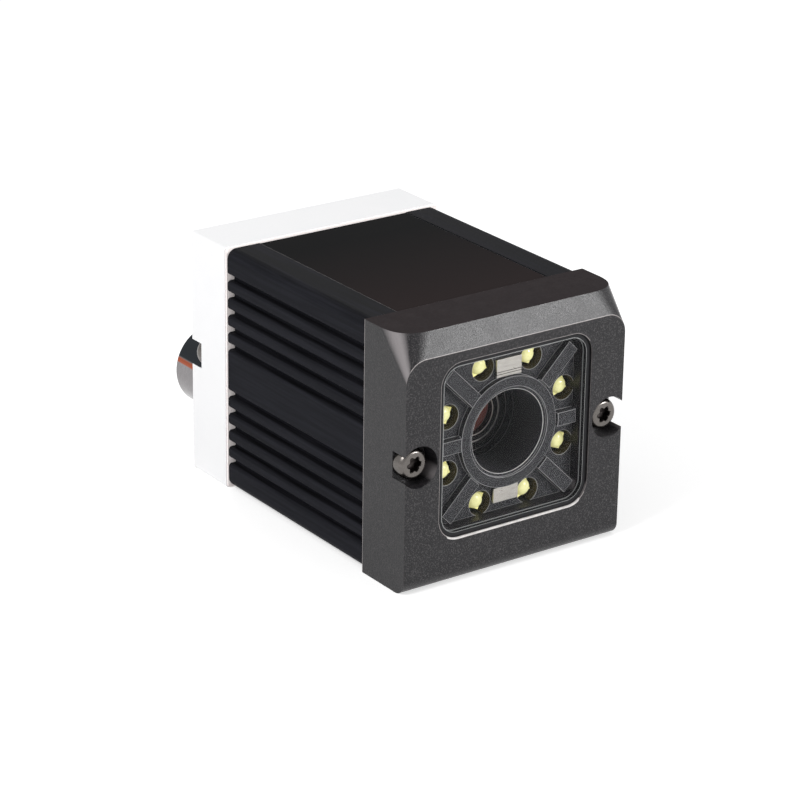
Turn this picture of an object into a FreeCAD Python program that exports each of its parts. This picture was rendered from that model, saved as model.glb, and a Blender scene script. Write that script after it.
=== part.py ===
import FreeCAD, Part
import math
import os
import re

import Sketcher

# Machine vision camera: a 45 mm square housing with a ring of lamps behind a
# window, a focusing lens inside and two round connectors at the back.
# Frame: the window faces -Y, +X is to the right seen from the front, +Z is up.
# The origin is under the middle of the housing's footprint at the base plane.

doc = FreeCAD.newDocument("VisionCamera")

SIZES = [
    # housing
    ("body_width", 45.0, "width of bezel and rear cover"),
    ("body_height", 45.0, "height of bezel and rear cover"),
    ("bezel_depth", 12.0, "front bezel, front face to rear face"),
    ("extrusion_length", 41.7, "finned tube between bezel and rear gasket"),
    ("gasket_thickness", 0.4, "visible gasket between tube and rear cover"),
    ("gasket_inset", 0.15, "rear gasket inside the cover's outline"),
    ("gasket_margin", 0.5, "front gasket inside the tube's skin"),
    ("cover_depth", 10.9, "rear cover, front rim to rear face"),
    # front bezel
    ("bevel_drop", 4.0, "flat front face below the top of the housing"),
    ("bevel_depth", 1.7, "depth at which the top bevel reaches the top"),
    ("corner_radius", 3.8, "upper corners of the front face"),
    ("corner_depth", 7.8, "depth at which the conical corners end"),
    ("foot_radius", 2.4, "rounding of the lower front edge"),
    ("bezel_wall", 2.6, "side wall of the bezel round its rear pocket"),
    ("bezel_face", 7.6, "depth of the bezel's solid front part"),
    # window
    ("optics_rise", 1.1, "optical axis above mid-height"),
    ("window_rim", 0.55, "bezel between the window and the counterbores"),
    ("window_radius", 4.0, "corners of that opening"),
    ("seal_width", 0.75, "width of the seal round the pane"),
    ("pane_recess", 0.45, "pane below the bezel's face"),
    ("pane_thickness", 1.0, "glass"),
    ("ledge_width", 0.5, "ledge behind the pane's edge"),
    ("fit_gap", 0.15, "clearance round a piece that is set in another"),
    # light holder and lamps
    ("ring_gap", 1.0, "between the holder's central ring and the lamp holes"),
    ("ring_wall", 2.4, "central ring round the viewing bore"),
    ("lip_width", 0.6, "step between the ring's face and the bore"),
    ("lip_depth", 0.4, "step between the ring's face and the bore"),
    ("rim_gap", 0.25, "groove between the ring and the ribs"),
    ("ring_front", 1.95, "front of the ring behind the bezel's face"),
    ("rib_width", 2.5, "diagonal ribs from the ring to the corners"),
    ("rib_front", 1.6, "front of ribs and tabs"),
    ("holder_floor", 3.0, "front of the holder's floor plate"),
    ("floor_thickness", 2.7, "holder's floor plate"),
    ("tab_width", 2.4, "tabs left and right of the ring"),
    ("tab_margin", 0.3, "end of the tabs from the holder's edge"),
    ("tube_end", 10.6, "rear end of the holder's central tube"),
    ("tube_wall", 1.0, "wall of the tube behind the floor plate"),
    ("led_margin", 2.1, "middle of the outer lamps from the holder's edge"),
    ("led_size", 3.0, "square lamp package"),
    ("led_base", 1.15, "lamp package without its lens"),
    ("led_lens", 1.2, "radius of the lamp's lens"),
    ("led_lens_height", 1.0, "lamp's lens above its package"),
    ("led_pocket", 2.2, "radius of the hole in the floor for a lamp"),
    ("led_count", 8, "lamps in the ring"),
    ("board_thickness", 1.6, "circuit boards"),
    ("clip_width", 5.1, "spring clips above and below the ring"),
    ("clip_sheet", 0.4, "sheet of the clips"),
    ("clip_front", 2.4, "front of the clips"),
    ("clip_gap", 0.1, "clips from the central ring"),
    ("clip_top_margin", 1.0, "upper clip from the holder's edge"),
    ("clip_low_margin", 1.6, "lower clip from the holder's edge"),
    # screws of bezel and cover
    ("screw_inset", 2.8, "cover screws from the side faces"),
    ("counterbore_radius", 3.65, "counterbore for the screw head"),
    ("counterbore_depth", 3.6, "front counterbore"),
    ("notch_depth", 3.0, "rear counterbore"),
    ("head_radius", 2.75, "screw head"),
    ("head_height", 2.3, "screw head"),
    ("shank_radius", 1.45, "screw thread"),
    ("socket_radius", 1.1, "six-lobe recess, as a round hole"),
    ("socket_depth", 1.3, "six-lobe recess"),
    ("head_land", 1.0, "height of the head's cylindrical part"),
    ("head_crown", 2.0, "radius of the head's flat top"),
    ("screw_bite", 8.0, "screw length inside the tube"),
    # finned tube
    ("tube_inset", 0.3, "tube set back from the bezel's outline"),
    ("tube_corner", 1.8, "outer corners of the tube"),
    ("side_wall", 3.4, "side walls of the tube"),
    ("flat_wall", 3.0, "top and bottom walls of the tube"),
    ("channel_radius", 1.5, "screw channel"),
    ("channel_boss", 3.0, "boss round the screw channel"),
    ("fin_first", 4.4, "first groove from mid-height"),
    ("fin_pitch", 3.18, "groove to groove"),
    ("fin_count", 5, "grooves above and below the middle band"),
    ("groove_width", 1.1, "groove between two fins"),
    ("groove_depth", 1.4, "groove between two fins"),
    ("fin_round", 0.6, "rounding of the fins' tips"),
    ("cavity_corner", 1.5, "inner corners of tube and cover"),
    ("label_shoulder", 6.6, "shoulders beside the label"),
    ("label_depth", 0.6, "recess for the label"),
    ("label_sink", 0.1, "label below the shoulders"),
    ("label_gap", 0.1, "gap beside the label"),
    # rear cover
    ("cover_corner", 0.6, "outer edges of the rear cover"),
    ("cover_wall", 2.2, "side walls of the rear cover"),
    ("cover_back", 3.4, "rear wall of the rear cover"),
    # connectors
    ("port_inset", 11.2, "connectors from the left side face"),
    ("network_height", 14.2, "network socket above the base"),
    ("power_drop", 10.0, "power plug below the top"),
    ("port_seal", 1.0, "seal ring under a connector's collar"),
    ("network_radius", 7.6, "collar of the network socket"),
    ("network_length", 12.0, "network socket beyond the cover"),
    ("network_bore", 5.45, "M12 thread inside the network socket"),
    ("network_bore_depth", 8.5, "M12 thread inside the network socket"),
    ("neck_radius", 6.4, "connector neck through the cover"),
    ("neck_stub", 1.5, "connector necks beyond their nuts"),
    ("port_chamfer", 0.4, "edges of the connectors' mouths"),
    ("insert_sink", 1.0, "insulator below the network socket's end"),
    ("contact_sink", 1.0, "contacts below the insulator's end"),
    ("pin_sink", 1.2, "pins below the power plug's end"),
    ("seal_lap", 0.1, "seal rings inside the collars' edges"),
    ("nut_radius", 8.3, "nut behind the cover wall, axis to corner"),
    ("nut_thickness", 2.0, "nut behind the cover wall"),
    ("power_radius", 6.0, "M12 thread on the power plug"),
    ("power_length", 8.4, "power plug beyond the cover"),
    ("power_flange", 7.0, "flange of the power plug"),
    ("flange_thickness", 1.2, "flange of the power plug"),
    ("power_bore", 4.9, "cup round the pins"),
    ("power_bore_depth", 6.6, "cup round the pins"),
    ("insert_radius", 4.1, "insulating body in the network socket"),
    ("contact_radius", 0.5, "contacts"),
    ("network_contact_circle", 2.6, "circle of the network contacts"),
    ("pin_circle", 2.75, "circle of the power pins"),
    ("power_pin_radius", 0.5, "power pins"),
    ("pin_count", 7, "power pins round the middle one"),
    ("contact_count", 4, "network contacts"),
    ("tail_length", 2.0, "contacts between the board and the insulators"),
    # focus
    ("focus_drop", 11.0, "focus screw below the optical axis"),
    ("focus_head_radius", 2.6, "focus screw head"),
    ("focus_head_length", 3.0, "focus screw head"),
    ("focus_sink", 0.8, "focus screw below the cover's rear face"),
    ("focus_slot_width", 0.8, "screwdriver slot"),
    ("focus_slot_length", 4.2, "screwdriver slot"),
    ("focus_slot_depth", 1.0, "screwdriver slot"),
    ("spindle_radius", 1.2, "focus spindle"),
    ("spindle_tip", 16.4, "front end of the spindle"),
    ("turning_gap", 0.08, "clearance of a turning or sliding fit"),
    ("thread_gap", 0.05, "clearance of the spindle's thread in the carriage"),
    ("focus_stroke", 1.0, "carriage travel each way from rest"),
    # optics frame and lens
    ("seat_gap", 0.3, "inner pieces from the tube's walls"),
    ("frame_front", 13.2, "front of the optics frame"),
    ("frame_back", 33.0, "rear of the optics frame"),
    ("frame_wall", 2.0, "walls of the optics frame"),
    ("bore_room", 1.4, "frame's front opening round the lens barrel"),
    ("sensor_room", 1.4, "frame's rear opening round the image sensor"),
    ("carriage_front", 18.2, "front of the lens carriage"),
    ("carriage_length", 6.0, "lens carriage along the axis"),
    ("carriage_room", 0.7, "lens carriage from the frame's inner sides"),
    ("carriage_rim", 0.8, "lens carriage outside the spindle's hole"),
    ("carriage_corner", 1.5, "corners of the lens carriage"),
    ("rod_inset", 2.6, "guide rods and spindle from the carriage's side"),
    ("rod_radius", 1.25, "guide rods"),
    ("barrel_radius", 6.8, "lens barrel"),
    ("barrel_gap", 0.1, "lens barrel behind the holder's tube when fully forward"),
    ("barrel_back", 27.0, "rear of the lens barrel"),
    ("lens_radius", 5.2, "front lens"),
    ("lens_fit", 0.05, "lenses, ring and insulators in their bores"),
    ("lens_edge", 1.6, "edge thickness of the lenses"),
    ("lens_crown", 1.1, "bulge of the lenses"),
    ("lens_sink", 2.3, "front lens seat behind the barrel's front"),
    ("rear_lens_sink", 2.4, "rear lens seat in front of the barrel's rear"),
    ("rear_lens_radius", 4.2, "rear lens"),
    ("stop_radius", 3.4, "light path between the lenses"),
    ("ring_ease", 0.4, "retaining ring clear of the lens's bulge"),
    ("ring_nut_bore", 3.9, "opening of the retaining ring"),
    # electronics
    ("board_inset", 0.5, "circuit boards from the tube's walls"),
    ("board_pitch", 8.8, "sensor board to processor board"),
    ("board_pitch_rear", 8.0, "processor board to connector board"),
    ("spacer_radius", 2.3, "hexagon posts between the boards, axis to corner"),
    ("spacer_inset", 3.0, "spacers from the boards' edges"),
    ("spindle_room", 0.8, "boards' holes round the focus spindle"),
    ("sensor_half", 4.6, "image sensor, half size"),
    ("sensor_height", 1.4, "image sensor"),
    ("chip_half", 6.5, "processor, half size"),
    ("chip_height", 1.5, "processor"),
    ("plug_gap", 0.9, "board-to-board connectors from the spacers beside them"),
    ("plug_width", 4.0, "board-to-board connectors"),
    ("plug_inset", 3.0, "board-to-board connectors from the boards' upper edge"),
    # status lights
    ("guide_radius", 1.1, "light guides in the cover"),
    ("guide_inset", 7.1, "outer light guide from the right side face"),
    ("guide_pitch", 4.2, "light guide to light guide"),
    ("guide_drop", 6.4, "light guides below the top"),
    ("guide_bed", 1.0, "flange of a light guide, thickness"),
    ("guide_count", 3, "light guides"),
    ("guide_flange", 1.6, "flange of a light guide"),
    ("lamp_gap", 0.2, "light guides from their lamps"),
    ("lamp_width", 1.4, "status lamps on the connector board"),
    ("lamp_height", 0.8, "status lamps on the connector board"),
]

DERIVED = {
    "lamp_spread": str(1 / math.cos(math.radians(22.5))),
    "half_width": "body_width / 2",
    "mid_height": "body_height / 2",
    "face_top": "body_height - bevel_drop",
    "optics_height": "mid_height + optics_rise",
    "screw_side": "half_width - screw_inset",
    "screw_height": "mid_height",
    "window_half": "screw_side - counterbore_radius - window_rim",
    "tube_front": "bezel_depth",
    "tube_back": "bezel_depth + extrusion_length",
    "cover_front": "tube_back + gasket_thickness",
    "body_back": "cover_front + cover_depth",
    "cover_floor": "body_back - cover_back",
    "tube_half": "half_width - tube_inset",
    "tube_low": "tube_inset",
    "tube_high": "body_height - tube_inset",
    "cavity_half": "tube_half - side_wall",
    "cavity_low": "tube_low + flat_wall",
    "cavity_high": "tube_high - flat_wall",
    "pane_half": "window_half - seal_width",
    "pane_radius": "window_radius - seal_width",
    "pane_back": "pane_recess + pane_thickness",
    "ledge_half": "pane_half - ledge_width",
    "ledge_radius": "pane_radius - ledge_width",
    "holder_half": "ledge_half - fit_gap",
    "holder_radius": "ledge_radius - fit_gap",
    "floor_back": "holder_floor + floor_thickness",
    "led_circle": "(holder_half - led_margin) * lamp_spread",
    "ring_radius": "led_circle - led_pocket - ring_gap",
    "bore_radius": "ring_radius - ring_wall",
    "tab_reach": "holder_half - tab_margin",
    "led_board_back": "floor_back + board_thickness",
    "head_back": "counterbore_depth",
    "head_front": "counterbore_depth - head_height",
    "rear_seat": "body_back - notch_depth",
    "sensor_board_front": "frame_back",
    "sensor_board_back": "sensor_board_front + board_thickness",
    "processor_front": "sensor_board_front + board_pitch",
    "processor_back": "processor_front + board_thickness",
    "connector_front": "processor_front + board_pitch_rear",
    "connector_back": "connector_front + board_thickness",
    "collar_front": "body_back + port_seal",
    "focus_head_back": "body_back - focus_sink",
    "focus_head_front": "focus_head_back - focus_head_length",
    "label_floor": "tube_high - label_depth",
    "label_half": "tube_half - label_shoulder",
    "port_side": "half_width - port_inset",
    "power_height": "body_height - power_drop",
    "guide_side": "half_width - guide_inset - guide_pitch * (guide_count - 1)",
    "guide_height": "body_height - guide_drop",
    "inner_half": "screw_side - channel_boss",
    "frame_half": "inner_half - seat_gap",
    "frame_low": "cavity_low + seat_gap",
    "frame_high": "cavity_high - seat_gap",
    "carriage_half": "frame_half - frame_wall - carriage_room",
    "carriage_tall": "focus_drop + spindle_radius + thread_gap + carriage_rim",
    "rod_side": "carriage_half - rod_inset",
    "focus_side": "rod_side",
    "focus_height": "optics_height - focus_drop",
    "barrel_front": "tube_end + focus_stroke + barrel_gap",
    "lens_seat": "barrel_front + lens_sink",
    "rear_lens_seat": "barrel_back - rear_lens_sink",
    "board_half": "inner_half - board_inset",
    "board_low": "cavity_low + board_inset",
    "board_high": "cavity_high - board_inset",
    "spacer_side": "board_half - spacer_inset",
    "spacer_low": "board_low + spacer_inset",
    "spacer_high": "board_high - spacer_inset",
    "plug_top": "board_high - plug_inset",
    "plug_half": "spacer_side - spacer_radius - plug_gap",
    "part_middle": "(body_back + network_length) / 2",
}

sheet = doc.addObject("Spreadsheet::Sheet", "Sizes")
for row, (alias, value, meaning) in enumerate(SIZES, start=1):
    sheet.set("A%d" % row, meaning)
    sheet.set("B%d" % row, str(value))
    sheet.setAlias("B%d" % row, alias)
doc.recompute()
ALIASES = {alias for alias, value, meaning in SIZES}


def formula(text):
    """Expression text with each size's name pointing at its cell."""
    def swap(match):
        word = match.group(0)
        if word in DERIVED:
            return "(" + formula(DERIVED[word]) + ")"
        if word in ALIASES:
            return "Sizes." + word
        raise ValueError("unknown size: " + word)
    return re.sub(r"[a-z][a-z_]*", swap, text)


def number(text):
    """Value of an expression at the present sizes, in millimetres."""
    return float(sheet.evalExpression(formula(text)))


# ---------------------------------------------------------------- profiles

def rectangle(left, low, right, high):
    return [(left, low), (right, low), (right, high), (left, high)]


def rounded(left, low, right, high, radius):
    """Rectangle with four round corners; a third item starts an arc."""
    inner_left, inner_right = f"{left} + {radius}", f"{right} - ({radius})"
    inner_low, inner_high = f"{low} + {radius}", f"{high} - ({radius})"
    return [
        (inner_left, low), (inner_right, low, radius),
        (right, inner_low), (right, inner_high, radius),
        (inner_right, high), (inner_left, high, radius),
        (left, inner_high), (left, inner_low, radius),
    ]


def square(half, radius=None):
    """Square about the sketch's origin."""
    if radius is None:
        return rectangle(f"-({half})", f"-({half})", half, half)
    return rounded(f"-({half})", f"-({half})", half, half, radius)


def hexagon(across, up, radius):
    """Regular hexagon with two corners level with its middle."""
    corners = []
    for index in range(6):
        angle = math.radians(60 * index)
        corners.append((f"{across} + ({radius}) * {math.cos(angle):.9f}",
                        f"{up} + ({radius}) * {math.sin(angle):.9f}"))
    return corners


def arc_between(start, end, radius, turn):
    """Minor arc from start to end, turning left (1) or right (-1)."""
    chord = end - start
    middle = (start + end) * 0.5
    rise = math.sqrt(max(radius * radius - chord.Length ** 2 / 4, 0.0))
    side = FreeCAD.Vector(-chord.y, chord.x, 0)
    side.normalize()
    centre = middle + side * (rise * turn)
    first, last = (start, end) if turn > 0 else (end, start)
    angle = [math.atan2(p.y - centre.y, p.x - centre.x) for p in (first, last)]
    if angle[1] < angle[0]:
        angle[1] += 2 * math.pi
    circle = Part.Circle(centre, FreeCAD.Vector(0, 0, 1), radius)
    return Part.ArcOfCircle(circle, angle[0], angle[1])


def pin_point(geometry, point, across, up):
    """Constraints that tie a sketch point to its two coordinates."""
    rules = []
    for axis, kind, text in ((-2, "DistanceX", across), (-1, "DistanceY", up)):
        if text == "0":
            rules.append((Sketcher.Constraint("PointOnObject", geometry, point, axis), None))
        else:
            value = number(text)
            rules.append((Sketcher.Constraint(kind, -1, 1, geometry, point, value), text))
    return rules


def apply_rules(sketch, rules):
    """Add the constraints in one go, then bind the driving ones to the sizes."""
    first = sketch.ConstraintCount
    sketch.addConstraint([rule for rule, text in rules])
    for index, (rule, text) in enumerate(rules, start=first):
        if text is not None:
            sketch.setExpression("Constraints[%d]" % index, formula(text))


def draw_circle(sketch, across, up, radius):
    centre = FreeCAD.Vector(number(across), number(up), 0)
    circle = Part.Circle(centre, FreeCAD.Vector(0, 0, 1), number(radius))
    index = sketch.addGeometry(circle, False)
    rules = pin_point(index, 3, across, up)
    rules.append((Sketcher.Constraint("Radius", index, number(radius)), radius))
    apply_rules(sketch, rules)


def draw_loop(sketch, loop):
    """Closed loop of lines and arcs whose corners follow the sizes."""
    corners = [FreeCAD.Vector(number(item[0]), number(item[1]), 0) for item in loop]
    ends = []
    for place, item in enumerate(loop):
        start, end = corners[place], corners[(place + 1) % len(loop)]
        if len(item) > 2:
            turn = item[3] if len(item) > 3 else 1
            arc = arc_between(start, end, number(item[2]), turn)
            index = sketch.addGeometry(arc, False)
            ends.append((index, 1, 2) if turn > 0 else (index, 2, 1))
        else:
            index = sketch.addGeometry(Part.LineSegment(start, end), False)
            ends.append((index, 1, 2))
    rules = []
    for place, item in enumerate(loop):
        index, first, last = ends[place]
        after, after_first, after_last = ends[(place + 1) % len(loop)]
        rules.append((Sketcher.Constraint("Coincident", index, last, after, after_first), None))
    for place, item in enumerate(loop):
        index, first, last = ends[place]
        rules += pin_point(index, first, item[0], item[1])
        if len(item) > 2:
            radius = number(item[2])
            rules.append((Sketcher.Constraint("Radius", index, radius), item[2]))
    apply_rules(sketch, rules)


# ---------------------------------------------------------------- pieces

PIECES = []


class Piece:
    """One sub-part: a PartDesign body placed by the sizes."""

    def __init__(self, label, across="0", up="0", spin=0.0):
        self.body = doc.addObject("PartDesign::Body", label)
        self.body.Label = label
        self.label = label
        turn = FreeCAD.Rotation(FreeCAD.Vector(0, 1, 0), spin)
        self.body.Placement = FreeCAD.Placement(FreeCAD.Vector(), turn)
        for axis, text in (("x", across), ("y", "-part_middle"), ("z", up)):
            if text != "0":
                self.body.setExpression("Placement.Base." + axis, formula(text))
        PIECES.append(self)

    def origin(self, role):
        for feature in self.body.Origin.OriginFeatures:
            if feature.Role == role:
                return feature
        raise ValueError(role)

    def sketch(self, plane, loops, depth="0", shift="0", lift="0", turn=0.0):
        drawing = self.body.newObject("Sketcher::SketchObject", self.label + "_sketch")
        drawing.AttachmentSupport = [(self.origin(plane + "_Plane"), "")]
        drawing.MapMode = "FlatFace"
        spin = FreeCAD.Rotation(FreeCAD.Vector(0, 0, 1), turn)
        drawing.AttachmentOffset = FreeCAD.Placement(FreeCAD.Vector(), spin)
        sign = "-" if plane == "XZ" else ""
        for axis, text in (("x", shift), ("y", lift), ("z", sign + "(" + depth + ")")):
            drawing.setExpression("AttachmentOffset.Base." + axis, formula(text))
        for loop in loops:
            if isinstance(loop, tuple):
                draw_circle(drawing, *loop)
            else:
                draw_loop(drawing, loop)
        return drawing

    def pad(self, plane, loops, start, stop, **place):
        drawing = self.sketch(plane, loops, start, **place)
        feature = self.body.newObject("PartDesign::Pad", self.label + "_pad")
        feature.Profile = drawing
        feature.setExpression("Length", formula(f"({stop}) - ({start})"))
        feature.Reversed = plane == "XZ"
        drawing.Visibility = False
        doc.recompute()
        return feature

    def pocket(self, plane, loops, start, stop, **place):
        before = self.body.Shape.Volume
        drawing = self.sketch(plane, loops, start, **place)
        feature = self.body.newObject("PartDesign::Pocket", self.label + "_pocket")
        feature.Profile = drawing
        feature.setExpression("Length", formula(f"({stop}) - ({start})"))
        feature.Reversed = plane != "XZ"
        doc.recompute()
        if not self.body.Shape.Volume < before - 1e-6:
            raise RuntimeError(self.label + ": a pocket cuts nothing")
        return feature

    def spin_profile(self, loop, cut=False, **place):
        """Turned form: the loop is (radius, position along Y)."""
        drawing = self.sketch("XY", [loop], **place)
        kind = "PartDesign::Groove" if cut else "PartDesign::Revolution"
        feature = self.body.newObject(kind, self.label + "_turned")
        feature.Profile = drawing
        feature.ReferenceAxis = (drawing, ["V_Axis"])
        feature.Angle = 360.0
        doc.recompute()
        return feature

    def ring_pattern(self, features, count):
        pattern = self.body.newObject("PartDesign::PolarPattern", self.label + "_ring")
        pattern.Originals = features
        pattern.Axis = (self.origin("Y_Axis"), [""])
        pattern.Angle = 360.0
        pattern.setExpression("Occurrences", formula(count))
        self.body.Tip = pattern
        doc.recompute()
        return pattern

    def row_pattern(self, features, pitch, count, downward=False):
        pattern = self.body.newObject("PartDesign::LinearPattern", self.label + "_row")
        pattern.Originals = features
        pattern.Direction = (self.origin("Z_Axis"), [""])
        pattern.Reversed = downward
        pattern.setExpression("Length", formula(f"{pitch} * ({count} - 1)"))
        pattern.setExpression("Occurrences", formula(count))
        self.body.Tip = pattern
        doc.recompute()
        return pattern

    def mirror(self, features, plane):
        copy = self.body.newObject("PartDesign::Mirrored", self.label + "_mirror")
        copy.Originals = features
        copy.MirrorPlane = (self.origin(plane + "_Plane"), [""])
        self.body.Tip = copy
        doc.recompute()
        return copy

    def round_edges(self, chosen, radius, bevel=False):
        """Fillet or chamfer the edges that the test picks."""
        shape = self.body.Tip.Shape
        names = ["Edge%d" % (i + 1) for i, edge in enumerate(shape.Edges) if chosen(edge)]
        if not names:
            raise RuntimeError(self.label + ": no edge to round")
        kind = "PartDesign::Chamfer" if bevel else "PartDesign::Fillet"
        feature = self.body.newObject(kind, self.label + "_edges")
        feature.Base = (self.body.Group[-2], names)
        feature.setExpression("Size" if bevel else "Radius", formula(radius))
        doc.recompute()
        return feature


def lies_at(edge, **where):
    """True when the whole edge lies at the given coordinates."""
    box = edge.BoundBox
    limits = {"x": (box.XMin, box.XMax), "y": (box.YMin, box.YMax), "z": (box.ZMin, box.ZMax)}
    return all(abs(limits[axis][0] - value) < 1e-3 and abs(limits[axis][1] - value) < 1e-3
               for axis, value in where.items())


SIDES = ("-", "")


# ---------------------------------------------------------------- housing

def arch(top, radius):
    """Outline with a flat foot and two round upper corners."""
    shoulder, inner = f"({top}) - ({radius})", f"half_width - ({radius})"
    return [
        ("-(half_width)", "0"), ("half_width", "0"),
        ("half_width", shoulder, radius), (inner, top),
        (f"-({inner})", top, radius), ("-(half_width)", shoulder),
    ]


def front_bezel():
    """Block whose front tapers: a flat bevel on top, conical at the corners."""
    piece = Piece("front_bezel")
    bevel_slope = "bevel_drop / bevel_depth"
    corner_slope = "(bevel_drop + corner_radius) / corner_depth"
    deep_top = f"face_top + {bevel_slope} * corner_depth"
    deep_radius = f"corner_radius + ({bevel_slope} - {corner_slope}) * corner_depth"
    front = piece.sketch("XZ", [arch("face_top", "corner_radius")])
    rear = piece.sketch("XZ", [arch(deep_top, deep_radius)], "corner_depth")
    loft = piece.body.newObject("PartDesign::AdditiveLoft", "front_bezel_loft")
    loft.Profile = front
    loft.Sections = [rear]
    loft.Ruled = True
    doc.recompute()
    above = rectangle("-body_width", "body_height", "body_width", "body_height * 3")
    piece.pocket("XZ", [above], "0", "corner_depth")
    block = rectangle("-(half_width)", "0", "half_width", "body_height")
    piece.pad("XZ", [block], "corner_depth", "bezel_depth")
    piece.round_edges(lambda edge: lies_at(edge, y=0, z=0), "foot_radius")
    piece.pocket("XZ", [square("window_half", "window_radius")], "0", "pane_back",
                 lift="optics_height")
    piece.pocket("XZ", [square("ledge_half", "ledge_radius")], "pane_back", "bezel_depth",
                 lift="optics_height")
    room = "screw_side - counterbore_radius - fit_gap"
    hollow = rectangle(f"-({room})", "bezel_wall", room, "body_height - bezel_wall")
    piece.pocket("XZ", [hollow], "bezel_face", "bezel_depth")
    piece.pocket("XZ", [front_gasket_outline("fit_gap")], "bezel_depth - gasket_thickness",
                 "bezel_depth")
    for sign in SIDES:
        place = sign + "(screw_side)"
        piece.pocket("XZ", [(place, "screw_height", "counterbore_radius")],
                     "0", "counterbore_depth")
        piece.pocket("XZ", [(place, "screw_height", "shank_radius + fit_gap")],
                     "counterbore_depth", "bezel_depth")


def window():
    seal = Piece("window_seal", up="optics_height")
    seal.pad("XZ", [square("window_half", "window_radius"),
                    square("pane_half", "pane_radius")], "pane_recess", "pane_back")
    pane = Piece("window_pane", up="optics_height")
    pane.pad("XZ", [square("pane_half", "pane_radius")], "pane_recess", "pane_back")


def light_holder():
    """Moulding behind the window: ring, diagonal ribs, tabs and round lamp wells."""
    piece = Piece("light_holder", up="optics_height")
    piece.pad("XZ", [square("holder_half", "holder_radius")], "holder_floor", "floor_back")
    reach = f"(holder_half - holder_radius / 2) * {math.sqrt(2)}"
    rib = rectangle("0", "-rib_width / 2", reach, "rib_width / 2")
    pad = piece.pad("XZ", [rib], "rib_front", "holder_floor", turn=45)
    piece.ring_pattern([pad], "4")
    tab = rectangle("-(tab_reach)", "-tab_width / 2", "tab_reach", "tab_width / 2")
    piece.pad("XZ", [tab], "rib_front", "holder_floor")
    piece.pocket("XZ", [("0", "0", "ring_radius + rim_gap")], "rib_front", "ring_front + lip_depth")
    piece.pad("XZ", [("0", "0", "ring_radius")], "ring_front", "floor_back")
    piece.pad("XZ", [("0", "0", "bore_radius + tube_wall")], "floor_back", "tube_end")
    piece.pocket("XZ", [("0", "0", "bore_radius + lip_width")],
                 "ring_front", "ring_front + lip_depth")
    piece.pocket("XZ", [("0", "0", "bore_radius")], "ring_front", "tube_end")
    well = piece.pocket("XZ", [("led_circle", "0", "led_pocket")], "rib_front", "floor_back",
                        turn=180 / number("led_count"))
    piece.ring_pattern([well], "led_count")


def clips():
    """Sheet clips above and below the ring, bent back to the holder's floor."""
    rows = (("holder_clip_top", "", "clip_top_margin"),
            ("holder_clip_bottom", "-", "clip_low_margin"))
    for label, sign, margin in rows:
        piece = Piece(label, up="optics_height")
        outer = f"holder_half - {margin}"
        for inner, back in (("ring_radius + clip_gap", "clip_front + clip_sheet"),
                            (f"{outer} - clip_sheet", "holder_floor")):
            low, high = (f"-({outer})", f"-({inner})") if sign else (inner, outer)
            piece.pad("XZ", [rectangle("-clip_width / 2", low, "clip_width / 2", high)],
                      "clip_front", back)


def lamps():
    board = Piece("led_board", up="optics_height")
    board.pad("XZ", [square("holder_half", "holder_radius"),
                     ("0", "0", "bore_radius + tube_wall + fit_gap")],
              "floor_back", "led_board_back")
    for index in range(int(number("led_count"))):
        spin = 360.0 * (index + 0.5) / number("led_count")
        piece = Piece("led_%d" % (index + 1), up="optics_height", spin=spin)
        half = "led_size / 2"
        body = rectangle(f"led_circle - {half}", f"-{half}", f"led_circle + {half}", half)
        top = "floor_back - led_base"
        piece.pad("XZ", [body], top, "floor_back")
        piece.pad("XZ", [("led_circle", "0", "led_lens")], f"{top} - led_lens_height", top)


def screws():
    """Pan-head screws; the two on one face share a node."""
    rows = (("bezel_screws", "counterbore_depth", "-", "tube_front + screw_bite"),
            ("rear_cover_screws", "rear_seat", "+", "tube_back - screw_bite"))
    for label, seat, outward, tip in rows:
        inward = "+" if outward == "-" else "-"
        piece = Piece(label, up="screw_height")
        top = f"{seat} {outward} head_height"
        shoulder = f"{seat} {outward} head_land"
        floor = f"{top} {inward} socket_depth"
        turned = piece.spin_profile([
            ("0", tip), ("shank_radius", tip), ("shank_radius", seat),
            ("head_radius", seat), ("head_radius", shoulder),
            ("head_crown", top), ("socket_radius", top),
            ("socket_radius", floor), ("0", floor)], shift="screw_side")
        piece.mirror([turned], "YZ")


def body_extrusion():
    """Finned tube with a boss for the screw channel in each side wall."""
    piece = Piece("body_extrusion")
    ends = ("tube_front", "tube_back")
    outer = rounded("-(tube_half)", "tube_low", "tube_half", "tube_high", "tube_corner")
    piece.pad("XZ", [outer], *ends)
    inner = rounded("-(cavity_half)", "cavity_low", "cavity_half", "cavity_high",
                    "cavity_corner")
    piece.pocket("XZ", [inner], *ends)
    for sign in SIDES:
        piece.pad("XZ", [boss(sign)], *ends)
        channel = (sign + "(screw_side)", "screw_height", "channel_radius")
        piece.pocket("XZ", [channel], *ends)
    recess = rectangle("-(label_half)", "label_floor", "label_half", "body_height")
    piece.pocket("XZ", [recess], *ends)
    for sign in SIDES:
        for way in ("+", "-"):
            first = groove(sign, f"screw_height {way} fin_first")
            cut = piece.pocket("XZ", [first], *ends)
            piece.row_pattern([cut], "fin_pitch", "fin_count", downward=way == "-")


def boss(sign, wall="tube_half - groove_depth", radius="channel_boss"):
    """Half-round outline that reaches in from a side wall round a screw."""
    outside, middle = f"{sign}({wall})", f"{sign}(screw_side)"
    nose = f"{sign}(screw_side - ({radius}))"
    low, high = f"screw_height - ({radius})", f"screw_height + {radius}"
    turn = -1 if sign else 1
    return [(outside, low), (outside, high), (middle, high, radius, turn),
            (nose, "screw_height", radius, turn), (middle, low)]


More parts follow.
